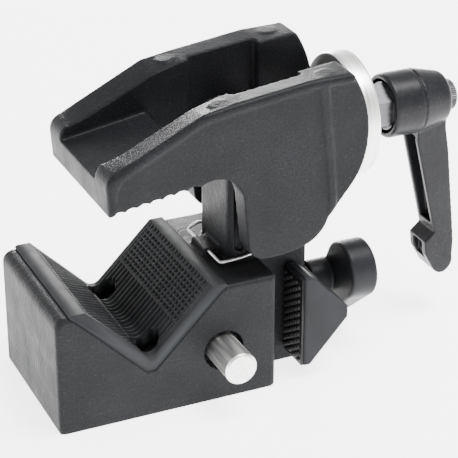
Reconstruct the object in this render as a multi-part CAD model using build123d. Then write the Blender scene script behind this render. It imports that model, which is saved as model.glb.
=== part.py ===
"""Super clamp: a V-jaw casting, a rocking upper jaw, and the screw gear that closes and locks it.

Millimetres, +Z up. While a piece is built, x is counted from the body's front face, y from the
middle plane and z from the bottom face. save() then moves x so that the origin is the centre of
the spigot socket's mouth, on the bottom face.
"""
from build123d import *
from math import cos, pi, radians, sin, sqrt, tan
import os

# Body casting
BODY_LENGTH = 67.0
WIDTH = 48.0
BODY_HEIGHT = 36.5
FRONT_EDGE_RADIUS = 3.3
BODY_SIDE_RADIUS = 1.2

# V of the lower jaw: a 90 degree groove lined with a rubber pad
V_X = 27.9
V_Z = 18.2
PAD_THICKNESS = 3.8
PAD_TOP = 37.3
PAD_WIDTH = WIDTH - 0.5
PAD_HOLE_Y = 17.2
PAD_HOLE_X = V_X + 0.6
PAD_HOLE_RADIUS = 4.4
PAD_BOTTOM_RADIUS = 3.0
PEG_HOLE_RADIUS = 2.6
PEG_HOLE_DEPTH = 8.0

# Neck, boss and the trunnions that the upper jaw rocks on
NECK_FRONT = 58.0
NECK_REAR = 78.0
BOSS_REAR = 83.0
NECK_HALF_WIDTH = 11.3
BOSS_TOP = 40.0
PIVOT_X = 66.0
PIVOT_Z = 62.0
NECK_TOP_RADIUS = 17.5
NECK_FRONT_RADIUS = 3.0
TRUNNION_RADIUS = 7.0
TRUNNION_END = 15.6

# Spigot socket, with the safety pin and the locking screw that enter it
SOCKET_X = 61.5
SOCKET_FLATS = 16.2
SOCKET_DEPTH = 33.0
SAFETY_PIN_X = 50.5
SAFETY_PIN_Z = 15.9
SAFETY_PIN_RADIUS = 4.85
SAFETY_PIN_OUT = 12.2
SAFETY_PIN_WELL = 6.1
SAFETY_PIN_WELL_DEPTH = 3.5
SAFETY_PIN_TAIL = 8.0
SAFETY_BORE_END = 21.5
RELEASE_WAIST = (-17.4, -5.8)
RELEASE_WAIST_RADIUS = 2.7
PIN_SPRING_RADIUS = 2.3
KNOB_Z = 19.6
KNOB_THREAD_RADIUS = 4.0

# Upper jaw
JAW_TIP_X = 17.0
JAW_TIP_Z = 64.2
JAW_FLOOR_END = 44.0
JAW_FLOOR_THICKNESS = 8.2
JAW_SLOPE = radians(8.9)
ARCH_X = 48.4
ARCH_Z = 60.7
ARCH_RADIUS = 8.9
CHEEK_FRONT_INNER = 14.0
CHEEK_THIN_INNER = 16.0
CHEEK_REAR_INNER = 12.6
THIN_FRONT = 56.2
THIN_REAR = 78.0
SADDLE_RADIUS = 10.0
CAM_START = 30.0
CAM_RISE = 14.0
RIM_RADIUS = 1.4
RIDGE_OUTER = ((20.0, 77.2), (24.2, 79.4), (45.0, 89.7), (54.2, 91.2), (77.0, 94.2), (88.6, 94.4))
SLOPE_OUTER = ((18.6, 77.0), (24.2, 79.5), (45.0, 89.8), (54.2, 91.3), (77.0, 94.3), (90.0, 94.7))
SLOPE_INNER = ((18.6, 76.2), (24.2, 77.8), (45.0, 87.5), (54.2, 90.5), (77.0, 93.1), (90.0, 94.6))
TOOTH_START = 3.2
TOOTH_PITCH = 3.7
TOOTH_DEPTH = 0.75
TOOTH_COUNT = 7

# Tie rod and the parts that it carries
ROD_Z = 72.2
ROD_RADIUS = 5.0
ROD_FRONT = 61.0
ROD_REAR = 115.0
CROSS_PIN_X = 66.5
CROSS_PIN_RADIUS = 2.0
DISC_FRONT = 96.3
DISC_THICKNESS = 6.3
DISC_RADIUS = 18.6
WASHER_RADIUS = 11.0
WASHER_THICKNESS = 1.2
RUNNING_GAP = 0.06

# Clamping lever
HUB_FRONT = 112.6
HUB_REAR = 133.2
HUB_RADIUS = 9.8
HUB_RECESS_RADIUS = 8.2
HUB_RECESS_END = 119.0
COLLAR_FRONT = 122.6
COLLAR_RADIUS = 10.1
COLLAR_END_RADIUS = 7.6
INSERT_FLATS = 13.0
INSERT_HEX_END = 113.1
INSERT_SHOULDER_RADIUS = 7.3
INSERT_SHOULDER_END = 118.7
INSERT_BORE_END = 124.5
INSERT_END = 126.5
SPIGOT_RADIUS = 6.2
TOOTH_HEIGHT = 0.7
TOOTH_RING_COUNT = 24
TOOTH_RING_END = 121.5
TOOTH_CLEARANCE = 0.15
HUB_WEB = (126.9, 127.9)
CAP_SCREW_RADIUS = 4.4
CAP_SCREW_FRONT = 132.4
CAP_SCREW_REAR = 136.5
CAP_SHANK_RADIUS = 2.5
LEVER_BOTTOM = 13.9

# Locking knob and stored wedge
WEDGE_FRONT = 74.8
WEDGE_APEX_X = 90.8
WEDGE_APEX_Z = 19.6
WEDGE_TOP = 33.2
WEDGE_BOTTOM = 4.0
WEDGE_SLOT = NECK_HALF_WIDTH + 0.5
WEDGE_PAD_THICKNESS = 1.6
KNOB_STEM_RADIUS = 5.3
KNOB_STEM_FRONT = 88.8
KNOB_INSERT = 9.0
KNOB_WING_FRONT = 95.6
KNOB_WING_REAR = 104.2
KNOB_UPPER = (-8.5, 24.5)
KNOB_UPPER_RADIUS = 9.0
KNOB_LOWER = (2.1, 11.0)
KNOB_LOWER_RADIUS = 5.5

# Return spring wire
WIRE_RADIUS = 0.5
WIRE_X = 54.6
WIRE_Z = 37.6
WIRE_SIDE_Y = 12.1


def save(name, shape):
    """Write one sub-part with the origin moved to the socket's mouth."""
    export_step(Pos(-SOCKET_X, 0, 0) * shape, f"parts/{name}.step")


def side_prism(face, y_low, y_high):
    """Extrude a sketch drawn as (x, z) from y_low to y_high."""
    return extrude(Plane.XZ.offset(-y_high) * face, y_high - y_low)


def polygon(points):
    """A closed straight-sided face from its corners."""
    return make_face(Polyline(*points, close=True))


def cylinder_x(x_low, x_high, y, z, radius):
    centre = (Align.CENTER, Align.CENTER, Align.MIN)
    return Pos(x_low, y, z) * Rot(0, 90, 0) * Cylinder(radius, x_high - x_low, align=centre)


def cylinder_y(y_low, y_high, x, z, radius):
    centre = (Align.CENTER, Align.CENTER, Align.MIN)
    return Pos(x, y_low, z) * Rot(-90, 0, 0) * Cylinder(radius, y_high - y_low, align=centre)


def cylinder_z(z_low, z_high, x, y, radius):
    centre = (Align.CENTER, Align.CENTER, Align.MIN)
    return Pos(x, y, z_low) * Cylinder(radius, z_high - z_low, align=centre)


def block(x_low, x_high, y_low, y_high, z_low, z_high):
    corner = (Align.MIN, Align.MIN, Align.MIN)
    return Pos(x_low, y_low, z_low) * Box(x_high - x_low, y_high - y_low, z_high - z_low, align=corner)


def hexagon_x(x_low, x_high, z, flats):
    """A hexagonal prism along X with two corners up and down."""
    face = Plane(origin=(x_low, 0, z), x_dir=(0, 1, 0), z_dir=(1, 0, 0)) * RegularPolygon(
        flats / 2, 6, major_radius=False, rotation=30)
    return extrude(face, x_high - x_low)


def helix_spring(length, radius, wire, turns):
    """A helical compression spring along +Z, its base at the origin."""
    path = Helix(length / turns, length, radius)
    section = Plane(origin=path @ 0, z_dir=path % 0) * Circle(wire)
    return sweep(section, path, is_frenet=True)


# ---------------------------------------------------------------- body casting

def pad_seat_face():
    """The groove that the pad is bonded into, open upward past the body's top."""
    seat = V_Z - PAD_THICKNESS * sqrt(2)
    reach = BODY_HEIGHT - seat
    over = 3.0
    corners = [(V_X - reach - over, BODY_HEIGHT + over), (V_X - 1.5, seat + 1.5),
               (V_X + 1.5, seat + 1.5), (V_X + reach + over, BODY_HEIGHT + over)]
    return polygon(corners)


def body_block():
    solid = block(0, BODY_LENGTH, -WIDTH / 2, WIDTH / 2, 0, BODY_HEIGHT)
    top_front = solid.edges().filter_by(Axis.Y).sort_by(Axis.Z)[-2:].sort_by(Axis.X)[0]
    solid = fillet(top_front, FRONT_EDGE_RADIUS)
    upright = solid.edges().filter_by(Axis.Z)
    return fillet(upright, BODY_SIDE_RADIUS)


def neck_and_boss():
    """The slab that rises between the jaw's cheeks, with the screw boss at its back."""
    profile = polygon([(NECK_FRONT, 0), (BOSS_REAR, 0), (BOSS_REAR, BOSS_TOP - 3),
                       (NECK_REAR, BOSS_TOP + 6), (NECK_REAR, PIVOT_Z + 20),
                       (NECK_FRONT, PIVOT_Z + 20)])
    dome = Pos(PIVOT_X, PIVOT_Z) * Circle(NECK_TOP_RADIUS)
    below = Pos((NECK_FRONT + BOSS_REAR) / 2, PIVOT_Z / 2) * Rectangle(60, PIVOT_Z)
    slab = side_prism(profile & (dome + below), -NECK_HALF_WIDTH, NECK_HALF_WIDTH)
    upright = slab.edges().filter_by(Axis.Z).sort_by(Axis.X)
    slab = fillet(upright[-2:], 1.5)
    return fillet(slab.edges().filter_by(Axis.Z).sort_by(Axis.X)[:2], NECK_FRONT_RADIUS)


def socket_tool():
    """Hexagonal spigot socket with a drilled relief above it and a lead-in chamfer."""
    hexagon = RegularPolygon(SOCKET_FLATS / 2, 6, major_radius=False, rotation=30)
    hole = extrude(Pos(SOCKET_X, 0, -1) * hexagon, SOCKET_DEPTH + 1)
    corner = SOCKET_FLATS / sqrt(3)
    lead = Pos(SOCKET_X, 0, 0) * Cone(corner + 0.8, corner - 0.7, 1.5,
                                      align=(Align.CENTER, Align.CENTER, Align.MIN))
    return hole + lead


def make_lower_body():
    body = body_block() + neck_and_boss()
    body += cylinder_y(-TRUNNION_END, TRUNNION_END, PIVOT_X, PIVOT_Z, TRUNNION_RADIUS)
    body += block(WIRE_X - 1.5, NECK_FRONT + 1, -3.8, 5.6, BODY_HEIGHT - 1, WIRE_Z + 0.9)
    body -= side_prism(pad_seat_face(), -WIDTH, WIDTH)
    body -= socket_tool()
    for side in (-1, 1):
        body -= cylinder_z(V_Z - 8 - PEG_HOLE_DEPTH, V_Z, PAD_HOLE_X, side * PAD_HOLE_Y,
                           PEG_HOLE_RADIUS)
    bore = SAFETY_PIN_RADIUS + RUNNING_GAP
    body -= cylinder_y(-WIDTH, SAFETY_BORE_END, SAFETY_PIN_X, SAFETY_PIN_Z, bore)
    body -= cylinder_y(-WIDTH, -WIDTH / 2 + SAFETY_PIN_WELL_DEPTH, SAFETY_PIN_X, SAFETY_PIN_Z,
                       SAFETY_PIN_WELL)
    body -= cylinder_x(SOCKET_X, BOSS_REAR + 1, 0, KNOB_Z, KNOB_THREAD_RADIUS + RUNNING_GAP)
    body -= cylinder_x(ROD_FRONT - 0.3, NECK_REAR + 1, 0, ROD_Z, ROD_RADIUS)
    body -= cylinder_y(-WIDTH, WIDTH, CROSS_PIN_X, ROD_Z, CROSS_PIN_RADIUS)
    body -= block(WIRE_X - WIRE_RADIUS, WIRE_X + WIRE_RADIUS, -5, 7, WIRE_Z - WIRE_RADIUS,
                  WIRE_Z + WIRE_RADIUS)
    return body


# ---------------------------------------------------------------- rubber V pad

def pad_face():
    seat = V_Z - PAD_THICKNESS * sqrt(2)
    reach_in = PAD_TOP - V_Z
    reach_out = BODY_HEIGHT - seat
    return polygon([
        (V_X - reach_out, PAD_TOP), (V_X - reach_in, PAD_TOP), (V_X, V_Z),
        (V_X + reach_in, PAD_TOP), (V_X + reach_out, PAD_TOP), (V_X + reach_out, BODY_HEIGHT),
        (V_X + 1.5, seat + 1.5), (V_X - 1.5, seat + 1.5), (V_X - reach_out, BODY_HEIGHT)])


def make_jaw_pad():
    pad = side_prism(pad_face(), -PAD_WIDTH / 2, PAD_WIDTH / 2)
    inner = [edge for edge in pad.edges().filter_by(Axis.Y)
             if abs(edge.center().Z - V_Z) < 0.1]
    pad = fillet(inner, PAD_BOTTOM_RADIUS)
    for side in (-1, 1):
        pad -= cylinder_z(V_Z - 9, V_Z + 9, PAD_HOLE_X, side * PAD_HOLE_Y, PAD_HOLE_RADIUS)
    return pad


# ---------------------------------------------------------------- upper jaw

def cam_point(angle):
    """Point of the cheek's rear edge that meets the disc when the nose is up by angle."""
    reach = CAM_START + CAM_RISE * angle
    x = PIVOT_X + reach * cos(angle) - CAM_RISE * sin(angle)
    z = PIVOT_Z + reach * sin(angle) + CAM_RISE * cos(angle)
    return (x, z)


def underside(x):
    """Height of the serrated face at x."""
    return JAW_TIP_Z + (x - JAW_TIP_X) * tan(JAW_SLOPE)


def cheek_face():
    """Side view of a cheek, walked from the tip along the top and back underneath."""
    cam = [cam_point(radians(a)) for a in (31, 22, 10, -2, -14, -26, -40)]
    arch_rear = (ARCH_X + ARCH_RADIUS * cos(radians(12)), ARCH_Z + ARCH_RADIUS * sin(radians(12)))
    arch_front_x = ARCH_X - ARCH_RADIUS * sin(radians(26))
    arch_front = (arch_front_x, underside(arch_front_x))
    front = Line((JAW_TIP_X, JAW_TIP_Z), (16.4, 72.6))
    nose = ThreePointArc((16.4, 72.6), (17.4, 75.6), RIDGE_OUTER[0])
    ridge = Polyline(*RIDGE_OUTER)
    corner = ThreePointArc(RIDGE_OUTER[-1], (90.3, 94.2), cam[0])
    back = Spline(*cam)
    heel = Line(cam[-1], (83.8, 51.4))
    sole = ThreePointArc((83.8, 51.4), (81.3, 47.0), (77.4, 44.2))
    belly = ThreePointArc((77.4, 44.2), (70.5, 42.4), (63.8, 42.1))
    toe = ThreePointArc((63.8, 42.1), (60.2, 43.6), (58.7, 47.2))
    lobe_front = Line((58.7, 47.2), arch_rear)
    arch = ThreePointArc(arch_rear, (ARCH_X + 1.8, ARCH_Z + ARCH_RADIUS * 0.98), arch_front)
    under = Line(arch_front, (JAW_TIP_X, JAW_TIP_Z))
    return make_face([front, nose, ridge, corner, back, heel, sole, belly, toe, lobe_front,
                      arch, under])


def tooth_tool(index):
    """A shallow scallop cut across the serrated face."""
    along = TOOTH_START + index * TOOTH_PITCH
    radius = (TOOTH_PITCH / 2) ** 2 / (2 * TOOTH_DEPTH) + TOOTH_DEPTH / 2
    x = JAW_TIP_X + along * cos(JAW_SLOPE)
    z = underside(x) - (radius - TOOTH_DEPTH)
    return cylinder_y(-WIDTH, WIDTH, x, z, radius)


def floor_wedge_face():
    """Side view of the space above the floor, between the cheeks."""
    top = JAW_FLOOR_THICKNESS / cos(JAW_SLOPE)
    front_z = underside(JAW_TIP_X) + top
    return polygon([(JAW_TIP_X - 3.0, front_z - 3.0 * tan(JAW_SLOPE)), (JAW_FLOOR_END - 1.6, underside(JAW_FLOOR_END) + top),
                    (JAW_FLOOR_END, underside(JAW_FLOOR_END) + top - 1.6),
                    (JAW_FLOOR_END, 30), (110, 30), (110, 110), (JAW_TIP_X - 3.0, 110)])


def rim_slope(side):
    """Cuts the top of a cheek down toward the channel, from the outer ridge to the inner one."""
    sections = []
    for ridge, y in ((SLOPE_INNER, CHEEK_REAR_INNER - 1.0), (SLOPE_OUTER, WIDTH / 2)):
        corners = [*ridge, (ridge[-1][0], 110.0), (ridge[0][0], 110.0)]
        sections.append(Plane.XZ.offset(-side * y) * polygon(corners))
    return loft(sections, ruled=True)


def saddle(side):
    """Half-round seat on the inside of a cheek, behind and under the trunnion."""
    inner = NECK_HALF_WIDTH + 0.5
    low, high = sorted((side * inner, side * (CHEEK_THIN_INNER + 0.5)))
    ring = cylinder_y(low, high, PIVOT_X, PIVOT_Z, SADDLE_RADIUS)
    ring += block(PIVOT_X, THIN_REAR + 0.5, low, high, PIVOT_Z - SADDLE_RADIUS, PIVOT_Z + 6)
    ring -= block(PIVOT_X - 20, PIVOT_X - 3.5, low - 1, high + 1, PIVOT_Z - 20, PIVOT_Z + 20)
    return ring


def make_upper_jaw():
    blank = side_prism(cheek_face(), -WIDTH / 2, WIDTH / 2)
    rims = [e for e in blank.edges() if abs(abs(e.center().Y) - WIDTH / 2) < 0.01]
    blank = fillet(rims, RIM_RADIUS)
    for index in range(TOOTH_COUNT):
        blank -= tooth_tool(index)
    blank -= side_prism(floor_wedge_face(), -CHEEK_FRONT_INNER, CHEEK_FRONT_INNER)
    thin = block(THIN_FRONT, THIN_REAR, -CHEEK_THIN_INNER, CHEEK_THIN_INNER, 30, 110)
    thin = fillet(thin.edges().filter_by(Axis.Z), 1.6)
    blank -= thin
    for side in (-1, 1):
        low, high = sorted((side * CHEEK_REAR_INNER, side * (CHEEK_FRONT_INNER + 0.5)))
        rear = block(THIN_REAR, 110, low, high, 30, 110) & side_prism(cheek_face(), low, high)
        blank += rear
        blank += saddle(side)
        blank -= rim_slope(side)
    blank -= cylinder_y(-TRUNNION_END - 0.4, TRUNNION_END + 0.4, PIVOT_X, PIVOT_Z,
                        TRUNNION_RADIUS + RUNNING_GAP)
    blank -= block(PIVOT_X - 4, PIVOT_X + TRUNNION_RADIUS + RUNNING_GAP, -CHEEK_THIN_INNER,
                   CHEEK_THIN_INNER, PIVOT_Z, PIVOT_Z + 40)
    return blank


# ---------------------------------------------------------------- tie rod and disc

def make_tie_rod():
    rod = cylinder_x(ROD_FRONT, ROD_REAR, 0, ROD_Z, ROD_RADIUS)
    rod = chamfer(rod.edges().filter_by(GeomType.CIRCLE), 0.8)
    return rod - cylinder_y(-20, 20, CROSS_PIN_X, ROD_Z, CROSS_PIN_RADIUS)


def make_cross_pin():
    return cylinder_y(-NECK_HALF_WIDTH + 0.2, NECK_HALF_WIDTH - 0.2, CROSS_PIN_X, ROD_Z,
                      CROSS_PIN_RADIUS)


def make_pressure_disc():
    disc = cylinder_x(DISC_FRONT, DISC_FRONT + DISC_THICKNESS, 0, ROD_Z, DISC_RADIUS)
    disc = chamfer(disc.edges().filter_by(GeomType.CIRCLE), 0.4)
    return disc - cylinder_x(DISC_FRONT - 1, DISC_FRONT + 9, 0, ROD_Z, ROD_RADIUS + RUNNING_GAP)


def make_thrust_washer():
    front = DISC_FRONT + DISC_THICKNESS
    washer = cylinder_x(front, front + WASHER_THICKNESS, 0, ROD_Z, WASHER_RADIUS)
    return washer - cylinder_x(front - 1, front + 9, 0, ROD_Z, ROD_RADIUS + RUNNING_GAP)


# ---------------------------------------------------------------- clamping lever

def toothed_ring(radius, tooth, count, x_low, x_high):
    """A ring of triangular teeth standing out of a shaft, along X."""
    step = 2 * pi / count
    points = []
    for index in range(count):
        points.append((radius * cos(index * step), radius * sin(index * step)))
        middle = (index + 0.5) * step
        points.append(((radius + tooth) * cos(middle), (radius + tooth) * sin(middle)))
    face = Plane(origin=(x_low, 0, ROD_Z), x_dir=(0, 1, 0), z_dir=(1, 0, 0)) * polygon(points)
    return extrude(face, x_high - x_low)


def make_lever_insert():
    """Long nut on the tie rod: a hexagon in front, a toothed spigot inside the lever's hub."""
    front = DISC_FRONT + DISC_THICKNESS + WASHER_THICKNESS + 0.3
    insert = hexagon_x(front, INSERT_HEX_END, ROD_Z, INSERT_FLATS)
    insert += cylinder_x(INSERT_HEX_END, INSERT_SHOULDER_END, 0, ROD_Z, INSERT_SHOULDER_RADIUS)
    insert += cylinder_x(INSERT_SHOULDER_END, INSERT_END, 0, ROD_Z, SPIGOT_RADIUS)
    insert += toothed_ring(SPIGOT_RADIUS, TOOTH_HEIGHT, TOOTH_RING_COUNT, INSERT_SHOULDER_END,
                           TOOTH_RING_END)
    insert -= cylinder_x(front - 1, INSERT_BORE_END, 0, ROD_Z, ROD_RADIUS + RUNNING_GAP)
    return insert - cylinder_x(front, INSERT_END + 1, 0, ROD_Z, CAP_SHANK_RADIUS)


def arm_face():
    """Side view of the lever's arm, a tapered channel that ends in a square foot."""
    front_top = (121.6, 66.0)
    knee = (130.6, 28.6)
    return make_face([
        Line(front_top, knee),
        Line(knee, (127.4, 25.8)),
        Line((127.4, 25.8), (127.9, 21.2)),
        Line((127.9, 21.2), (130.8, 16.0)),
        ThreePointArc((130.8, 16.0), (132.2, 14.4), (134.4, LEVER_BOTTOM)),
        ThreePointArc((134.4, LEVER_BOTTOM), (136.6, 15.4), (137.4, 19.6)),
        ThreePointArc((137.4, 19.6), (137.5, 24.0), (137.1, 29.0)),
        Line((137.1, 29.0), (134.0, 56.0)),
        Line((134.0, 56.0), (132.6, 64.0)),
        Line((132.6, 64.0), (132.6, 72.0)),
        Line((132.6, 72.0), (121.6, 72.0)),
        Line((121.6, 72.0), front_top)])


def channel_face():
    """Side view of the hollow cut into the arm from the front."""
    return polygon([(118.0, 61.8), (126.8, 61.8), (129.6, 50.0), (132.4, 31.5), (126.6, 31.5),
                    (121.0, 50.0)])


def make_lever_handle():
    handle = cylinder_x(HUB_FRONT, COLLAR_FRONT, 0, ROD_Z, HUB_RADIUS)
    handle = chamfer(handle.edges().filter_by(GeomType.CIRCLE).sort_by(Axis.X)[0], 0.7)
    centre = (Align.CENTER, Align.CENTER, Align.MIN)
    collar = Cone(COLLAR_RADIUS, COLLAR_END_RADIUS, HUB_REAR - COLLAR_FRONT, align=centre)
    collar = fillet(collar.edges().filter_by(GeomType.CIRCLE).sort_by(Axis.Z)[-1], 2.2)
    handle += Pos(COLLAR_FRONT, 0, ROD_Z) * Rot(0, 90, 0) * collar
    arm = side_prism(arm_face(), -5.0, 5.0)
    handle += arm
    handle -= side_prism(channel_face(), -3.2, 3.2)
    handle -= block(125, 129.9, -2.6, 2.6, 19.4, 25.2)
    handle -= cylinder_x(HUB_FRONT - 1, HUB_RECESS_END, 0, ROD_Z, HUB_RECESS_RADIUS)
    handle -= toothed_ring(SPIGOT_RADIUS + TOOTH_CLEARANCE, TOOTH_HEIGHT, TOOTH_RING_COUNT,
                           HUB_RECESS_END - 1, HUB_WEB[0])
    handle -= cylinder_x(HUB_FRONT, HUB_REAR + 1, 0, ROD_Z, CAP_SHANK_RADIUS + 0.2)
    return handle - cylinder_x(HUB_WEB[1], HUB_REAR + 5, 0, ROD_Z, CAP_SCREW_RADIUS + 0.4)


def make_cap_screw():
    """Screw in the insert's end; its head holds the lever on and carries the spring."""
    shank = cylinder_x(INSERT_BORE_END, CAP_SCREW_FRONT, 0, ROD_Z, CAP_SHANK_RADIUS)
    head = cylinder_x(CAP_SCREW_FRONT, CAP_SCREW_REAR, 0, ROD_Z, CAP_SCREW_RADIUS)
    head = chamfer(head.edges().filter_by(GeomType.CIRCLE).sort_by(Axis.X)[-1], 0.5)
    screw = shank + head
    return screw - hexagon_x(CAP_SCREW_REAR - 2.0, CAP_SCREW_REAR + 1, ROD_Z, 4.0)


def make_lever_spring():
    """Spring that pulls the lever's teeth back on to the insert's."""
    wire = 0.3
    length = CAP_SCREW_FRONT - HUB_WEB[1] - 2 * wire - 0.2
    spring = helix_spring(length, 3.6, wire, 2)
    return Pos(HUB_WEB[1] + wire + 0.1, 0, ROD_Z) * Rot(0, 90, 0) * spring


# ---------------------------------------------------------------- safety pin

def make_safety_pin():
    front = -WIDTH / 2 - SAFETY_PIN_OUT
    pin = cylinder_y(front, SAFETY_PIN_TAIL, SAFETY_PIN_X, SAFETY_PIN_Z, SAFETY_PIN_RADIUS)
    pin = chamfer(pin.edges().filter_by(GeomType.CIRCLE).sort_by(Axis.Y)[0], 0.6)
    sleeve = cylinder_y(*RELEASE_WAIST, SAFETY_PIN_X, SAFETY_PIN_Z, SAFETY_PIN_RADIUS + 1)
    sleeve -= cylinder_y(*RELEASE_WAIST, SAFETY_PIN_X, SAFETY_PIN_Z, RELEASE_WAIST_RADIUS)
    pin -= sleeve
    return pin - cylinder_y(-1.0, SAFETY_PIN_TAIL + 1, SAFETY_PIN_X, SAFETY_PIN_Z,
                            PIN_SPRING_RADIUS + 0.9)


def make_safety_spring():
    start = -0.6
    spring = helix_spring(SAFETY_BORE_END - start - 1.0, PIN_SPRING_RADIUS, 0.45, 6)
    return Pos(SAFETY_PIN_X, start, SAFETY_PIN_Z) * Rot(-90, 0, 0) * spring


# ---------------------------------------------------------------- locking knob

def wing_face():
    """Oblong seen along X: a larger upper lobe and a smaller lower one, joined by tangents."""
    upper = Pos(*KNOB_UPPER) * Circle(KNOB_UPPER_RADIUS)
    lower = Pos(*KNOB_LOWER) * Circle(KNOB_LOWER_RADIUS)
    return make_hull((upper + lower).edges())


def make_knob_grip():
    facing = Plane(origin=(KNOB_WING_FRONT, 0, 0), x_dir=(0, 1, 0), z_dir=(1, 0, 0))
    wing = extrude(facing * wing_face(), KNOB_WING_REAR - KNOB_WING_FRONT)
    wing = fillet(wing.faces().filter_by(Axis.X).edges(), 0.9)
    grip = wing + cylinder_x(KNOB_STEM_FRONT, KNOB_WING_FRONT + 1, 0, KNOB_Z, KNOB_STEM_RADIUS)
    return grip - cylinder_x(KNOB_STEM_FRONT - 1, KNOB_STEM_FRONT + KNOB_INSERT, 0, KNOB_Z,
                             KNOB_THREAD_RADIUS)


def make_knob_screw():
    tip = SOCKET_X + SOCKET_FLATS / 2 + 2.6
    screw = cylinder_x(tip, KNOB_STEM_FRONT + KNOB_INSERT, 0, KNOB_Z, KNOB_THREAD_RADIUS)
    screw = chamfer(screw.edges().filter_by(GeomType.CIRCLE).sort_by(Axis.X)[0], 0.6)
    return screw - cylinder_x(tip - 1, tip + 2, 0, KNOB_Z, 2.3)


def make_screw_tip():
    """Swivelling brass tip that presses on the spigot."""
    face = SOCKET_X + SOCKET_FLATS / 2 + 0.6
    tip = cylinder_x(face, face + 1.7, 0, KNOB_Z, 3.3)
    tip += cylinder_x(face + 1.7, face + 3.4, 0, KNOB_Z, 2.24)
    return chamfer(tip.edges().filter_by(GeomType.CIRCLE).sort_by(Axis.X)[0], 0.5)


# ---------------------------------------------------------------- stored wedge

def wedge_face():
    return polygon([(WEDGE_FRONT + WEDGE_PAD_THICKNESS, WEDGE_BOTTOM), (78.6, WEDGE_BOTTOM),
                    (WEDGE_APEX_X, 17.6), (WEDGE_APEX_X, 21.2), (78.6, WEDGE_TOP),
                    (WEDGE_FRONT + WEDGE_PAD_THICKNESS, WEDGE_TOP)])


def make_wedge_insert():
    wedge = side_prism(wedge_face(), -WIDTH / 2, WIDTH / 2)
    edges = [e for e in wedge.edges() if abs(abs(e.center().Y) - WIDTH / 2) < 0.01]
    wedge = chamfer(edges, 0.5)
    wedge -= block(70, BOSS_REAR + 2.6, -WEDGE_SLOT, WEDGE_SLOT, -5, 60)
    return wedge - cylinder_x(BOSS_REAR, 100, 0, KNOB_Z, KNOB_STEM_RADIUS + 0.35)


def make_wedge_pad(side):
    low, high = sorted((side * (WEDGE_SLOT + 0.3), side * (WIDTH / 2 - 0.4)))
    pad = block(WEDGE_FRONT, WEDGE_FRONT + WEDGE_PAD_THICKNESS, low, high, WEDGE_BOTTOM + 0.4,
                WEDGE_TOP - 0.4)
    return pad


# ---------------------------------------------------------------- return spring wire

def wire_run(start, end):
    """A straight length of wire with round ends, from one point to another."""
    length = (Vector(*end) - Vector(*start)).length
    direction = Vector(*end) - Vector(*start)
    plane = Plane(origin=start, z_dir=direction)
    run = extrude(plane * Circle(WIRE_RADIUS), length)
    return run + Pos(*start) * Sphere(WIRE_RADIUS) + Pos(*end) * Sphere(WIRE_RADIUS)


def make_return_spring():
    corner_y = WIRE_SIDE_Y + 0.1
    points = [(68.0, corner_y, 39.3), (57.6, corner_y, 39.2), (WIRE_X, corner_y, WIRE_Z),
              (WIRE_X, -corner_y, WIRE_Z), (61.0, -corner_y, 38.0), (68.0, -corner_y, 39.3)]
    wire = wire_run(points[0], points[1])
    for start, end in zip(points[1:-1], points[2:]):
        wire += wire_run(start, end)
    return wire


def main():
    os.makedirs("parts", exist_ok=True)
    save("lower_body", make_lower_body())
    save("jaw_pad", make_jaw_pad())
    save("upper_jaw", make_upper_jaw())
    save("tie_rod", make_tie_rod())
    save("tie_rod_cross_pin", make_cross_pin())
    save("pressure_disc", make_pressure_disc())
    save("thrust_washer", make_thrust_washer())
    save("lever_insert", make_lever_insert())
    save("lever_handle", make_lever_handle())
    save("lever_cap_screw", make_cap_screw())
    save("lever_spring", make_lever_spring())
    save("safety_pin", make_safety_pin())
    save("safety_pin_spring", make_safety_spring())
    save("knob_grip", make_knob_grip())
    save("knob_screw", make_knob_screw())
    save("screw_tip", make_screw_tip())
    save("wedge_insert", make_wedge_insert())
    save("wedge_pad_right", make_wedge_pad(-1))
    save("wedge_pad_left", make_wedge_pad(1))
    save("return_spring_wire", make_return_spring())


if __name__ == "__main__":
    main()
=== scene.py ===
"""Looks of the super clamp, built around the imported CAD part. Metres, +Z up, in the row frame."""
import bmesh
import bpy
import math
import numpy as np
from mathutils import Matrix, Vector


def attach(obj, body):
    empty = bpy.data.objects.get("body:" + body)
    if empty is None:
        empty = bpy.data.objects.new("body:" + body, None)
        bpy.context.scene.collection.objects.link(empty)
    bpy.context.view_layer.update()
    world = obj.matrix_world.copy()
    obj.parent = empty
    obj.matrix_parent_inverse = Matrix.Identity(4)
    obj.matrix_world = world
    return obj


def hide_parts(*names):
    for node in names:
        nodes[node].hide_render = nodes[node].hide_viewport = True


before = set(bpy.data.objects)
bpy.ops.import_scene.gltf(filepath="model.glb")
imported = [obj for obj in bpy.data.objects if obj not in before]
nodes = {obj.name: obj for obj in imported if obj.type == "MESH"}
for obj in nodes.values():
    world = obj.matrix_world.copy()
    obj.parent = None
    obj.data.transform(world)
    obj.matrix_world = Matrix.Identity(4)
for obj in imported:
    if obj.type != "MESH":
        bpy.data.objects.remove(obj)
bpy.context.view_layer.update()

# Lengths with no other unit named are mm, with x counted from the body's front face.
MM = 0.001
SOCKET_X = 61.5          # x of the frame's origin
ROD_Z = 72.2             # height of the tie rod's axis
WIDTH = 48.0             # of the body and of the upper jaw
WELD_DISTANCE = 1e-6     # metres

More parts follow.
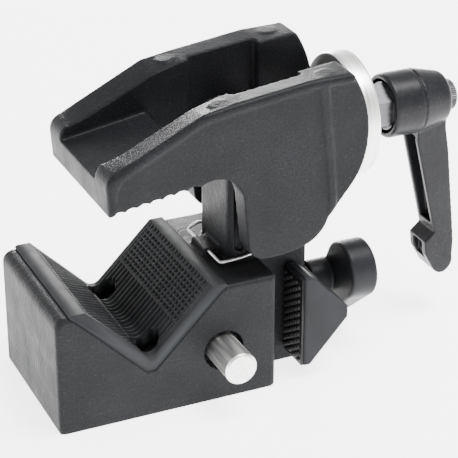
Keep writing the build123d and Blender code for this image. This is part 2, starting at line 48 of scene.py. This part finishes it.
# Camera and light: places and sizes in metres, light powers in watts.
CAMERA_PLACE = (-0.19193, -0.42745, 0.27359)
CAMERA_AZIMUTH = math.radians(-24.33)
CAMERA_ELEVATION = math.radians(26.33)
LENS = 139.34
SENSOR_WIDTH = 36
LIGHT_AIM = Vector((0.0, 0.0, 0.05))
KEY_LIGHT = ((0.25, -0.15, 0.9), 0.45, 17.0)
BACK_LIGHT = ((0.3, 1.1, 0.16), 0.32, 18.0)
HORIZON_STRENGTH = 2.6
HORIZON_END = 0.12       # the sky fades between these two values of its Generated z
ZENITH_START = 0.5
ZENITH_STRENGTH = 1.1
FLOOR_SIZE = 6.0
FLOOR_GLOW = 3.5


def camera():
    data = bpy.data.cameras.new("camera")
    data.lens = LENS
    data.sensor_width = SENSOR_WIDTH
    data.clip_end = 10
    holder = bpy.data.objects.new("camera", data)
    bpy.context.scene.collection.objects.link(holder)
    flat = math.cos(CAMERA_ELEVATION)
    back = Vector((math.sin(CAMERA_AZIMUTH) * flat, -math.cos(CAMERA_AZIMUTH) * flat,
                   math.sin(CAMERA_ELEVATION)))
    holder.location = CAMERA_PLACE
    holder.rotation_euler = back.to_track_quat("Z", "Y").to_euler()
    bpy.context.scene.camera = holder


def area_light(name, place, size, energy):
    data = bpy.data.lights.new(name, "AREA")
    data.size = size
    data.energy = energy
    holder = bpy.data.objects.new(name, data)
    bpy.context.scene.collection.objects.link(holder)
    holder.location = place
    aim = Vector(place) - LIGHT_AIM
    holder.rotation_euler = aim.to_track_quat("Z", "Y").to_euler()


def surroundings():
    """A pale sky that fades towards the zenith, two soft lights and a glowing floor."""
    world = bpy.data.worlds.new("studio")
    bpy.context.scene.world = world
    world.use_nodes = True
    tree = world.node_tree
    sky = tree.nodes["Background"]
    sky.inputs["Color"].default_value = (1.0, 1.0, 1.0, 1.0)
    split = tree.nodes.new("ShaderNodeSeparateXYZ")
    tree.links.new(tree.nodes.new("ShaderNodeTexCoord").outputs["Generated"], split.inputs[0])
    height = tree.nodes.new("ShaderNodeMapRange")
    height.inputs["From Min"].default_value = HORIZON_END
    height.inputs["From Max"].default_value = ZENITH_START
    height.inputs["To Min"].default_value = HORIZON_STRENGTH
    height.inputs["To Max"].default_value = ZENITH_STRENGTH
    tree.links.new(split.outputs["Z"], height.inputs["Value"])
    tree.links.new(height.outputs["Result"], sky.inputs["Strength"])
    area_light("key", *KEY_LIGHT)
    area_light("back", *BACK_LIGHT)
    bpy.ops.mesh.primitive_plane_add(size=FLOOR_SIZE)
    floor = bpy.context.object
    floor.name = "floor"
    material = bpy.data.materials.new("floor")
    material.use_nodes = True
    shader = material.node_tree.nodes["Principled BSDF"]
    shader.inputs["Base Color"].default_value = (0.9, 0.9, 0.9, 1.0)
    shader.inputs["Roughness"].default_value = 0.9
    shader.inputs["Specular IOR Level"].default_value = 0.1
    shader.inputs["Emission Color"].default_value = (1.0, 1.0, 1.0, 1.0)
    shader.inputs["Emission Strength"].default_value = FLOOR_GLOW
    floor.data.materials.append(material)


# ---------------------------------------------------------------- materials

class Graph:
    """A material's nodes: coordinates in, one Principled shader out."""

    def __init__(self, name):
        self.material = bpy.data.materials.new(name)
        self.material.use_nodes = True
        self.tree = self.material.node_tree
        self.shader = self.tree.nodes["Principled BSDF"]
        self.coordinates = self.tree.nodes.new("ShaderNodeTexCoord").outputs["Object"]

    def link(self, source, target):
        self.tree.links.new(source, target)

    def noise(self, scale, detail=4.0, stretch=None):
        place = self.coordinates
        if stretch:
            mapping = self.tree.nodes.new("ShaderNodeMapping")
            mapping.inputs["Scale"].default_value = stretch
            self.link(place, mapping.inputs["Vector"])
            place = mapping.outputs["Vector"]
        node = self.tree.nodes.new("ShaderNodeTexNoise")
        node.inputs["Scale"].default_value = scale
        node.inputs["Detail"].default_value = detail
        self.link(place, node.inputs["Vector"])
        return node.outputs["Fac"]

    def dots(self, scale):
        node = self.tree.nodes.new("ShaderNodeTexVoronoi")
        node.inputs["Scale"].default_value = scale
        self.link(self.coordinates, node.inputs["Vector"])
        return node.outputs["Distance"]

    def ramp(self, value, low, high, first, last):
        """Maps value from low..high to first..last, clamped."""
        node = self.tree.nodes.new("ShaderNodeMapRange")
        node.inputs["From Min"].default_value = low
        node.inputs["From Max"].default_value = high
        node.inputs["To Min"].default_value = first
        node.inputs["To Max"].default_value = last
        self.link(value, node.inputs["Value"])
        return node.outputs["Result"]

    def mix(self, factor, first, second):
        """Blends two colours, each a constant or a socket."""
        node = self.tree.nodes.new("ShaderNodeMix")
        node.data_type = "RGBA"
        self.link(factor, node.inputs["Factor"])
        for socket, value in ((node.inputs[6], first), (node.inputs[7], second)):
            if isinstance(value, tuple):
                socket.default_value = (*value, 1.0)
            else:
                self.link(value, socket)
        return node.outputs[2]

    def edges(self, low, high):
        """0 on flat faces and 1 on sharp outer edges."""
        geometry = self.tree.nodes.new("ShaderNodeNewGeometry")
        return self.ramp(geometry.outputs["Pointiness"], low, high, 0.0, 1.0)

    def bump(self, heights):
        """Chains (height socket, strength, distance) bumps into the shader's normal."""
        normal = None
        for height, strength, distance in heights:
            node = self.tree.nodes.new("ShaderNodeBump")
            node.inputs["Strength"].default_value = strength
            node.inputs["Distance"].default_value = distance
            self.link(height, node.inputs["Height"])
            if normal:
                self.link(normal, node.inputs["Normal"])
            normal = node.outputs["Normal"]
        self.link(normal, self.shader.inputs["Normal"])

    def finish(self, colour, roughness, metallic=0.0, specular=0.5):
        self.link(colour, self.shader.inputs["Base Color"])
        self.link(roughness, self.shader.inputs["Roughness"])
        self.shader.inputs["Metallic"].default_value = metallic
        self.shader.inputs["Specular IOR Level"].default_value = specular
        return self.material


def shade(colour, factor):
    """The colour made darker or lighter."""
    return tuple(min(1.0, channel * factor) for channel in colour)


def painted_casting(name, colour, rough, grain, peel, edge_highlight=0.35, specular=0.1):
    """Satin black powder coat over a cast skin, with a painted highlight in patches along its sharp
    edges.

    Grain and peel are the depths in metres of the fine and the coarser bumps.
    """
    g = Graph(name)
    patches = g.ramp(g.noise(45.0), 0.35, 0.65, 0.0, 1.0)
    base = g.mix(patches, shade(colour, 0.75), shade(colour, 1.25))
    specks = g.ramp(g.dots(650.0), 0.0, 0.2, 0.5, 0.0)
    base = g.mix(specks, base, shade(colour, 5.0))
    pits = g.ramp(g.noise(1500.0, 2.0), 0.4, 0.62, 0.0, 0.6)
    base = g.mix(pits, base, shade(colour, 0.35))
    # Painted highlight: sharp outer edges are mixed towards a lighter colour, in noise patches.
    edge_highlight_patches = g.ramp(g.noise(260.0), 0.35, 0.7, 0.0, edge_highlight)
    edge = g.tree.nodes.new("ShaderNodeMath")
    edge.operation = "MULTIPLY"
    g.link(g.edges(0.52, 0.6), edge.inputs[0])
    g.link(edge_highlight_patches, edge.inputs[1])
    base = g.mix(edge.outputs[0], base, shade(colour, 5.0))
    roughness = g.ramp(g.noise(130.0), 0.3, 0.7, rough - 0.06, rough + 0.08)
    g.bump(((g.noise(700.0, 2.0), 0.6, peel), (g.noise(1700.0, 2.0), 0.8, grain)))
    return g.finish(base, roughness, specular=specular)


def moulded(name, colour, rough, grain, specular=0.11, speckle=0.0):
    """Moulded plastic or rubber with a fine skin, dusty specks and a painted highlight along its
    edges.
    """
    g = Graph(name)
    patches = g.ramp(g.noise(70.0), 0.35, 0.65, 0.0, 1.0)
    base = g.mix(patches, shade(colour, 0.8), shade(colour, 1.25))
    dust = g.ramp(g.dots(1100.0), 0.0, 0.14, 0.25 + speckle, 0.0)
    base = g.mix(dust, base, shade(colour, 3.5))
    # Painted highlight: convex edges are mixed towards a lighter colour.
    base = g.mix(g.ramp(g.edges(0.51, 0.58), 0.0, 1.0, 0.0, 0.5), base, shade(colour, 2.2))
    roughness = g.ramp(g.noise(210.0), 0.3, 0.7, rough - 0.05, rough + 0.08)
    g.bump(((g.noise(1800.0, 3.0), 0.5, grain),))
    return g.finish(base, roughness, specular=specular)


def turned_metal(name, colour, rough, stretch, scratch=0.00001):
    """Bare steel with tool marks drawn out along the directions where stretch is small."""
    g = Graph(name)
    marks = g.noise(1.0, 5.0, stretch)
    tone = g.mix(g.ramp(marks, 0.3, 0.7, 0.0, 1.0), shade(colour, 0.8), shade(colour, 1.1))
    stains = g.ramp(g.noise(110.0), 0.55, 0.8, 0.0, 0.2)
    tone = g.mix(stains, tone, shade(colour, 0.6))
    roughness = g.ramp(marks, 0.3, 0.7, rough - 0.06, rough + 0.1)
    g.bump(((marks, 0.4, scratch),))
    return g.finish(tone, roughness, metallic=1.0)


def make_materials():
    steel_marks = (300.0, 900.0, 900.0)
    return {
        "body_paint": painted_casting("body_paint", (0.0105, 0.011, 0.0124), 0.46, 0.0002, 0.00022),
        "jaw_paint": painted_casting("jaw_paint", (0.0092, 0.0096, 0.011), 0.43, 0.00014, 0.00012),
        "lever_paint": painted_casting("lever_paint", (0.01, 0.0102, 0.012), 0.33, 0.00003,
                                       0.00005, edge_highlight=0.2, specular=0.15),
        "pad_rubber": moulded("pad_rubber", (0.012, 0.0127, 0.0138), 0.52, 0.00006,
                              specular=0.1),
        "wedge_plastic": moulded("wedge_plastic", (0.012, 0.0125, 0.0142), 0.43, 0.0001),
        "wedge_rubber": moulded("wedge_rubber", (0.007, 0.007, 0.0075), 0.27, 0.00001,
                                specular=0.12),
        "knob_plastic": moulded("knob_plastic", (0.012, 0.0125, 0.0142), 0.38, 0.00012,
                                speckle=0.3),
        "bare_steel": turned_metal("bare_steel", (0.85, 0.84, 0.82), 0.36, (700.0, 60.0, 700.0),
                                   0.000003),
        "disc_steel": turned_metal("disc_steel", (0.88, 0.87, 0.85), 0.3, (2000.0, 40.0, 40.0),
                                   0.00001),
        "dark_steel": turned_metal("dark_steel", (0.1, 0.1, 0.106), 0.35, steel_marks),
        "tip_brass": turned_metal("tip_brass", (0.72, 0.5, 0.22), 0.3, (1500.0, 300.0, 300.0)),
    }


# ---------------------------------------------------------------- mesh helpers

LEAST_RADIUS = 0.001     # keeps a disc's middle points apart


def mesh_object(name, points, faces):
    """A mesh from points in mm, with x counted from the body's front face."""
    mesh = bpy.data.meshes.new(name)
    places = (np.asarray(points, float) - (SOCKET_X, 0.0, 0.0)) * MM
    mesh.from_pydata(places.tolist(), [], [list(f) for f in faces])
    made = bpy.data.objects.new(name, mesh)
    bpy.context.scene.collection.objects.link(made)
    return made


def recalculate(made):
    """Welds the mesh and turns its faces outward."""
    grid = bmesh.new()
    grid.from_mesh(made.data)
    bmesh.ops.remove_doubles(grid, verts=grid.verts, dist=WELD_DISTANCE)
    bmesh.ops.recalc_face_normals(grid, faces=grid.faces)
    grid.to_mesh(made.data)
    grid.free()


def copy_of(node, name):
    """A welded copy of a CAD node's mesh, free to be changed."""
    made = bpy.data.objects.new(name, nodes[node].data.copy())
    bpy.context.scene.collection.objects.link(made)
    recalculate(made)
    return made


def prism(outline, y_low, y_high):
    """A closed prism from an (x, z) outline in mm, between two y values."""
    count = len(outline)
    points = [(x, y, z) for y in (y_low, y_high) for x, z in outline]
    faces = [range(count), range(2 * count - 1, count - 1, -1)]
    for i in range(count):
        j = (i + 1) % count
        faces.append((i, j, j + count, i + count))
    made = mesh_object("tool", points, faces)
    recalculate(made)
    return made


def tube(centre, axis, radii, low, high, sides=64):
    """A ring about an axis through centre, or a disc when the inner radius is zero."""
    inner, outer = max(radii[0], LEAST_RADIUS), radii[1]
    direction = Vector(axis).normalized()
    turn = Vector((0, 0, 1)).rotation_difference(direction)
    loop = [(outer, low), (outer, high), (inner, high), (inner, low)]
    points = []
    for i in range(sides):
        angle = 2 * math.pi * i / sides
        for radius, along in loop:
            spot = turn @ Vector((radius * math.cos(angle), radius * math.sin(angle), along))
            points.append(tuple(Vector(centre) + spot))
    faces = []
    for i in range(sides):
        for k in range(4):
            a, b = 4 * i + k, 4 * i + (k + 1) % 4
            c, d = 4 * ((i + 1) % sides) + (k + 1) % 4, 4 * ((i + 1) % sides) + k
            faces.append((a, b, c, d))
    made = mesh_object("tool", points, faces)
    recalculate(made)
    return made


def apply_modifiers(made):
    """Turns the object's modifiers into its mesh."""
    bpy.context.view_layer.update()
    graph = bpy.context.evaluated_depsgraph_get()
    old = made.data
    made.data = bpy.data.meshes.new_from_object(made.evaluated_get(graph))
    made.modifiers.clear()
    bpy.data.meshes.remove(old)


def carve(made, tools, operation="DIFFERENCE"):
    """Cuts the tools away one by one, or joins them on, and removes them."""
    for tool in tools:
        cut = made.modifiers.new("cut", "BOOLEAN")
        cut.operation = operation
        cut.solver = "EXACT"
        cut.object = tool
        apply_modifiers(made)
        bpy.data.objects.remove(tool)


def soften(made, voxel, passes):
    """Rounds every edge as a casting's are: an even skin of small faces, relaxed a little."""
    skin = made.modifiers.new("skin", "REMESH")
    skin.mode = "VOXEL"
    skin.voxel_size = voxel * MM
    relax = made.modifiers.new("relax", "SMOOTH")
    relax.factor = 0.5
    relax.iterations = passes
    apply_modifiers(made)


def place(made, name, body, stands_for, slot):
    """Names and paints a finished piece and hands it to its body."""
    made.name = name
    made.data.name = name
    made.data.materials.clear()
    made.data.materials.append(materials[slot])
    for face in made.data.polygons:
        face.use_smooth = True
    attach(made, body)
    if stands_for:
        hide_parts(*stands_for)


# ---------------------------------------------------------------- castings

# Lower edge of the cheek's rim as (x, z), from the nose to the ridge.
RIM_LINE = [(18.9, 71.5), (21.0, 74.9), (24.8, 76.9), (45.2, 87.1), (54.2, 88.7), (77.0, 91.7)]
RECESS_DEPTH = 0.75
RECESS_BOTTOM = 30.0     # below every part of the cheek
MARK_PLACES = ((68.6, 28.6), (7.0, 8.6))
MARK_RADII = (2.5, 2.9)
MARK_DEPTH = 0.25
CREASE = [(59.6, 40.5), (62.6, 39.0), (61.0, 62.0), (59.9, 66.0)]
CREASE_INNER_Y = 9.6
CREASE_OUTER_Y = 12.5
GROOVE_RADIUS = 9.55
GROOVE_X = (122.3, 123.0)
STUD_RADIUS = 2.7
STUD_Y = 19.0
CASTING_VOXEL = 0.4
MOULDED_VOXEL = 0.3
RELAXING = 4             # smoothing passes


def lower_body():
    """The body with ejector rings on its sides and a crease down each side of the neck."""
    made = copy_of("lower_body", "lower_body_skin")
    marks = []
    for x, z in MARK_PLACES:
        for side in (-1, 1):
            marks.append(tube((x, side * WIDTH / 2, z), (0, 1, 0), MARK_RADII, -MARK_DEPTH,
                              MARK_DEPTH, 40))
    for side in (-1, 1):
        low, high = sorted((side * CREASE_INNER_Y, side * CREASE_OUTER_Y))
        marks.append(prism(CREASE, low, high))
    carve(made, marks)
    soften(made, CASTING_VOXEL, RELAXING)
    place(made, "lower_body_skin", "clamp_body", ["lower_body"], "body_paint")


def cheek_recess(side):
    """The cheek's outer face lies a little below its rim and its upright ridge."""
    low, high = sorted((side * (WIDTH / 2 - RECESS_DEPTH), side * (WIDTH / 2 + 2.0)))
    front = RIM_LINE + [(79.6, 92.0), (80.6, 84.0), (82.6, 68.0), (83.9, 52.0),
                        (83.9, RECESS_BOTTOM), (RIM_LINE[0][0], RECESS_BOTTOM)]
    rear = [(82.4, 92.2), (99.0, 92.2), (99.0, RECESS_BOTTOM), (86.6, RECESS_BOTTOM),
            (86.2, 52.0), (84.8, 68.0)]
    return [prism(front, low, high), prism(rear, low, high)]


def upper_jaw():
    """The jaw with recessed cheeks and four low studs on its rims."""
    made = copy_of("upper_jaw", "upper_jaw_skin")
    tools = []
    for side in (-1, 1):
        tools += cheek_recess(side)
    carve(made, tools)
    studs = []
    for x, z, lean in ((51.0, 90.1, -0.16), (83.5, 93.9, -0.06)):
        for side in (-1, 1):
            studs.append(tube((x, side * STUD_Y, z), (lean, 0, 1), (0.0, STUD_RADIUS), -1.5,
                              0.45, 40))
    carve(made, studs, "UNION")
    soften(made, CASTING_VOXEL, RELAXING)
    place(made, "upper_jaw_skin", "upper_jaw_body", ["upper_jaw"], "jaw_paint")


def lever():
    """The lever with a groove turned round its hub, before the end."""
    made = copy_of("lever_handle", "lever_handle_skin")
    carve(made, [tube((0, 0, ROD_Z), (1, 0, 0), (GROOVE_RADIUS, 13.0), *GROOVE_X)])
    soften(made, MOULDED_VOXEL, RELAXING)
    place(made, "lever_handle_skin", "lever", ["lever_handle"], "lever_paint")


def knob():
    """The T knob with its moulded edges rounded."""
    made = copy_of("knob_grip", "knob_grip_skin")
    soften(made, MOULDED_VOXEL, RELAXING)
    place(made, "knob_grip_skin", "t_knob", ["knob_grip"], "knob_plastic")


KNURL_X = (132.9, 136.1)
KNURL_TEETH = 40
KNURL_TIP = 4.66
KNURL_ROOT = 4.36
KNURL_BORE = 4.1


def cap_screw_knurl():
    """Straight knurl round the cap screw's head."""
    count = 2 * KNURL_TEETH
    outline = [KNURL_TIP if i % 2 else KNURL_ROOT for i in range(count)]
    points, faces = [], []
    for radii in (outline, [KNURL_BORE] * count):
        for x in KNURL_X:
            for i, radius in enumerate(radii):
                angle = math.pi * i / KNURL_TEETH
                points.append((x, radius * math.cos(angle), ROD_Z + radius * math.sin(angle)))
    for i in range(count):
        j = (i + 1) % count
        faces += [(i, j, j + count, i + count), (i, j, j + 2 * count, i + 2 * count),
                  (i + count, j + count, j + 3 * count, i + 3 * count),
                  (i + 2 * count, j + 2 * count, j + 3 * count, i + 3 * count)]
    made = mesh_object("cap_screw_knurl", points, faces)
    recalculate(made)
    place(made, "cap_screw_knurl", "lever_nut", [], "dark_steel")
    for face in made.data.polygons:
        face.use_smooth = False


# ---------------------------------------------------------------- rubber V pad

V_X, V_Z = 27.9, 18.2    # point where the two faces of the V would meet
DIAGONAL = math.sqrt(2)  # the V's faces lean 45 degrees
BODY_TOP = 36.5
PAD_TOP = 37.3
PAD_HALF = 23.75         # half of the lining's width
PAD_ROUND = 3.0          # radius in the bottom of the V
PAD_THICKNESS = 3.8
LIP_ROUND = 0.5
STEP = 0.2               # of the lining's grid
COLUMN = 2.05            # pitch of the pattern across the clamp
ROW = 1.55               # pitch of the pockets down the rear face
DIAMOND = 1.25           # pitch of the front face's diagonal bumps
PAD_HOLE_X = V_X + 0.6
PAD_HOLE_Y = 17.2
PAD_HOLE_RADIUS = 4.4


def soft_box(distance, half, edge=0.16):
    """1 inside half, 0 outside, with a short slope between."""
    return np.clip((half - np.abs(distance)) / edge + 0.5, 0.0, 1.0)


def saw(value, pitch):
    """Distance from the nearest multiple of pitch."""
    return value - np.round(value / pitch) * pitch


def pad_profile():
    """Rows of x, z, direction into the rubber, distance from the near lip and zone."""
    reach = PAD_TOP - V_Z
    slope = reach * DIAGONAL - PAD_ROUND
    centre_z = V_Z + PAD_ROUND * DIAGONAL
    rows = []
    for t in np.arange(0.0, slope, STEP):
        d = t / DIAGONAL
        rows.append((V_X - reach + d, PAD_TOP - d, -1, -1, t, "front"))
    for a in np.linspace(-math.pi / 4, math.pi / 4, 24):
        rows.append((V_X + PAD_ROUND * math.sin(a), centre_z - PAD_ROUND * math.cos(a),
                     math.sin(a) * DIAGONAL, -math.cos(a) * DIAGONAL,
                     slope + (a + math.pi / 4) * PAD_ROUND, "arc"))
    for t in np.arange(slope, -STEP, -STEP):
        d = max(t, 0.0) / DIAGONAL
        rows.append((V_X + reach - d, PAD_TOP - d, 1, -1, max(t, 0.0), "rear"))
    return rows


def pad_depth(t, zone, y):
    """How far the moulded pattern goes into the rubber, t from the lip and y across.

    The front face has fine diagonal bumps, the bottom has ribs, and the rear face has
    rows of pockets above the same ribs. Both lips are notched.
    """
    inside = soft_box(y, 21.4, 0.2)
    column = saw(y + COLUMN / 2, COLUMN)
    if zone == "front":
        u, v = (t + y) / DIAGONAL, (t - y) / DIAGONAL
        bumps = soft_box(saw(u, DIAMOND), 0.42, 0.3) * soft_box(saw(v, DIAMOND), 0.42, 0.3)
        notch = soft_box(column, 0.5) * soft_box(t - 1.0, 0.6)
        fine = (1 - bumps) * 0.5 * (1.0 if 2.2 < t < 23.0 else 0.0)
        return inside * np.maximum(fine, notch * 0.8)
    if zone == "arc":
        return inside * soft_box(column, 0.56) * 1.2
    notch = soft_box(column, 0.45) * soft_box(t - 0.9, 0.55)
    pocket = soft_box(column, 0.6) * soft_box(saw(t - 3.0, ROW), 0.42)
    pocket = pocket * (1.0 if 2.1 < t < 14.7 else 0.0)
    groove = soft_box(column, 0.56) * soft_box(t - 20.6, 5.2 if t < 20.6 else 50.0)
    return inside * np.maximum.reduce([notch * 1.1, pocket * 1.3, groove * 1.2])


def jaw_pad():
    """The V's lining: its patterned face on a grid, closed by a plain back."""
    ys = np.linspace(-PAD_HALF, PAD_HALF, int(2 * PAD_HALF / STEP) + 1)
    points = []
    profile = pad_profile()
    for x, z, nx, nz, t, zone in profile:
        depth = pad_depth(t, zone, ys)
        length = math.hypot(nx, nz)
        for y, d in zip(ys, depth):
            points.append((x + nx / length * d, y, z + nz / length * d))
    seat = V_Z - PAD_THICKNESS * DIAGONAL
    reach = BODY_TOP - seat
    back = [(V_X + reach - 0.6, PAD_TOP), (V_X + reach, PAD_TOP - LIP_ROUND),
            (V_X + reach, BODY_TOP), (V_X + 1.5, seat + 1.5), (V_X - 1.5, seat + 1.5),
            (V_X - reach, BODY_TOP), (V_X - reach, PAD_TOP - LIP_ROUND),
            (V_X - reach + 0.6, PAD_TOP)]
    for x, z in back:
        points += [(x, y, z) for y in ys]
    rings = len(profile) + len(back)
    across = len(ys)
    faces = []
    for r in range(rings):
        a, b = r * across, ((r + 1) % rings) * across
        faces += [(a + i, a + i + 1, b + i + 1, b + i) for i in range(across - 1)]
    faces.append([r * across for r in range(rings)])
    faces.append([r * across + across - 1 for r in reversed(range(rings))])
    made = mesh_object("jaw_pad_rubber", points, faces)
    recalculate(made)
    holes = [tube((PAD_HOLE_X, side * PAD_HOLE_Y, 18.0), (0, 0, 1), (0.0, PAD_HOLE_RADIUS),
                  -9, 9, 48) for side in (-1, 1)]
    carve(made, holes)
    place(made, "jaw_pad_rubber", "clamp_body", ["jaw_pad"], "pad_rubber")


# ---------------------------------------------------------------- wedge facings

FACING_INNER_Y = 12.1
FACING_OUTER_Y = 23.6
FACING_Z = (4.4, 32.8)
DOTTED_Z = (5.6, 31.4)
FACING_X = 75.5          # ground of the facing, which the dots stand out from
FACING_BACK_X = 76.4
DOT_HEIGHT = 0.7
DOT_PITCH_Y = 1.75
DOT_PITCH_Z = 2.2


def wedge_facing(side):
    """Rubber facing with rows of raised oblong dots, staggered from column to column."""
    low, high = sorted((side * FACING_INNER_Y, side * FACING_OUTER_Y))
    ys = np.linspace(low, high, 60)
    zs = np.linspace(*FACING_Z, 150)
    across = len(zs)
    points = []
    for y in ys:
        column = round((y - low) / DOT_PITCH_Y)
        shift = DOT_PITCH_Z / 2 if column % 2 else 0.0
        dy = saw(y - low, DOT_PITCH_Y) / 0.55
        dz = saw(zs + shift, DOT_PITCH_Z) / 0.85
        rise = np.clip(1.6 - (dy * dy + dz * dz) * 1.2, 0.0, 1.0)
        rise = rise * (low + 0.8 < y < high - 0.6) * ((zs > DOTTED_Z[0]) & (zs < DOTTED_Z[1]))
        for z, r in zip(zs, rise):
            points.append((FACING_X - DOT_HEIGHT * r, y, z))
    count = len(points)
    points += [(FACING_BACK_X, y, z) for y in ys for z in (zs[0], zs[-1])]
    faces = []
    for i in range(len(ys) - 1):
        for k in range(across - 1):
            a = i * across + k
            faces.append((a, a + 1, a + across + 1, a + across))
        b = count + 2 * i
        faces.append((b, b + 1, b + 3, b + 2))
        faces.append((i * across, (i + 1) * across, b + 2, b))
        faces.append((i * across + across - 1, b + 1, b + 3, (i + 2) * across - 1))
    faces.append([*range(across), count + 1, count])
    last = (len(ys) - 1) * across
    tail = count + 2 * (len(ys) - 1)
    faces.append([*range(last, last + across), tail + 1, tail])
    word = "right" if side < 0 else "left"
    made = mesh_object("wedge_facing_" + word, points, faces)
    recalculate(made)
    place(made, "wedge_facing_" + word, "wedge", ["wedge_pad_" + word], "wedge_rubber")


def wedge():
    """The stored wedge and its two rubber facings."""
    made = copy_of("wedge_insert", "wedge_insert_skin")
    soften(made, MOULDED_VOXEL, RELAXING - 1)
    place(made, "wedge_insert_skin", "wedge", ["wedge_insert"], "wedge_plastic")
    for side in (-1, 1):
        wedge_facing(side)


# ---------------------------------------------------------------- wire

WIRE_X = 54.6
WIRE_Y = 12.2
WIRE_Z = 37.6
WIRE_RADIUS = 0.5
BEND_REACH = 1.3         # from a corner of the wire's path to the start of its bend
BEND_STEPS = 6


def spring_wire():
    """The return spring: a bent length of bright wire across the front of the neck."""
    path = [(68.0, WIRE_Y, 39.3), (57.6, WIRE_Y, 39.2), (WIRE_X, WIRE_Y, WIRE_Z),
            (WIRE_X, -WIRE_Y, WIRE_Z), (61.0, -WIRE_Y, 38.0), (68.0, -WIRE_Y, 39.3)]
    curve = bpy.data.curves.new("wire", "CURVE")
    curve.dimensions = "3D"
    curve.bevel_depth = WIRE_RADIUS * MM
    curve.bevel_resolution = 5
    curve.use_fill_caps = True
    rounded = [path[0]]
    for before, corner, after in zip(path, path[1:], path[2:]):
        before, corner, after = Vector(before), Vector(corner), Vector(after)
        start = corner + (before - corner).normalized() * BEND_REACH
        end = corner + (after - corner).normalized() * BEND_REACH
        for i in range(BEND_STEPS + 1):
            s = i / BEND_STEPS
            rounded.append(tuple(start.lerp(corner, s).lerp(corner.lerp(end, s), s)))
    rounded.append(path[-1])
    line = curve.splines.new("POLY")
    line.points.add(len(rounded) - 1)
    for point, (x, y, z) in zip(line.points, rounded):
        point.co = ((x - SOCKET_X) * MM, y * MM, z * MM, 1.0)
    holder = bpy.data.objects.new("wire", curve)
    bpy.context.scene.collection.objects.link(holder)
    bpy.context.view_layer.update()
    graph = bpy.context.evaluated_depsgraph_get()
    mesh = bpy.data.meshes.new_from_object(holder.evaluated_get(graph))
    bpy.data.objects.remove(holder)
    made = bpy.data.objects.new("return_spring_bright", mesh)
    bpy.context.scene.collection.objects.link(made)
    place(made, "return_spring_bright", "clamp_body", ["return_spring_wire"], "bare_steel")


# ---------------------------------------------------------------- carried-over CAD pieces

CARRIED = {
    "tie_rod": "bare_steel", "tie_rod_cross_pin": "bare_steel", "pressure_disc": "disc_steel",
    "thrust_washer": "dark_steel", "lever_insert": "dark_steel", "lever_cap_screw": "dark_steel",
    "lever_spring": "bare_steel", "safety_pin": "bare_steel", "safety_pin_spring": "bare_steel",
    "knob_screw": "dark_steel", "screw_tip": "tip_brass",
}
BEVELLED = ("pressure_disc", "safety_pin", "lever_insert", "lever_cap_screw")
BEVEL_WIDTH = 0.25
SHARP = math.radians(32)


def carried_pieces():
    """Materials for the CAD pieces that show as they are, and a bevel on the turned ones."""
    for name, slot in CARRIED.items():
        piece = nodes[name]
        piece.data.materials.clear()
        piece.data.materials.append(materials[slot])
        if name in BEVELLED:
            weld = piece.modifiers.new("weld", "WELD")
            weld.merge_threshold = WELD_DISTANCE
            bevel = piece.modifiers.new("bevel", "BEVEL")
            bevel.width = BEVEL_WIDTH * MM
            bevel.segments = 3
            bevel.limit_method = "ANGLE"
            bevel.angle_limit = SHARP
            bevel.harden_normals = False


camera()
surroundings()
materials = make_materials()
lower_body()
upper_jaw()
jaw_pad()
lever()
cap_screw_knurl()
knob()
wedge()
spring_wire()
carried_pieces()
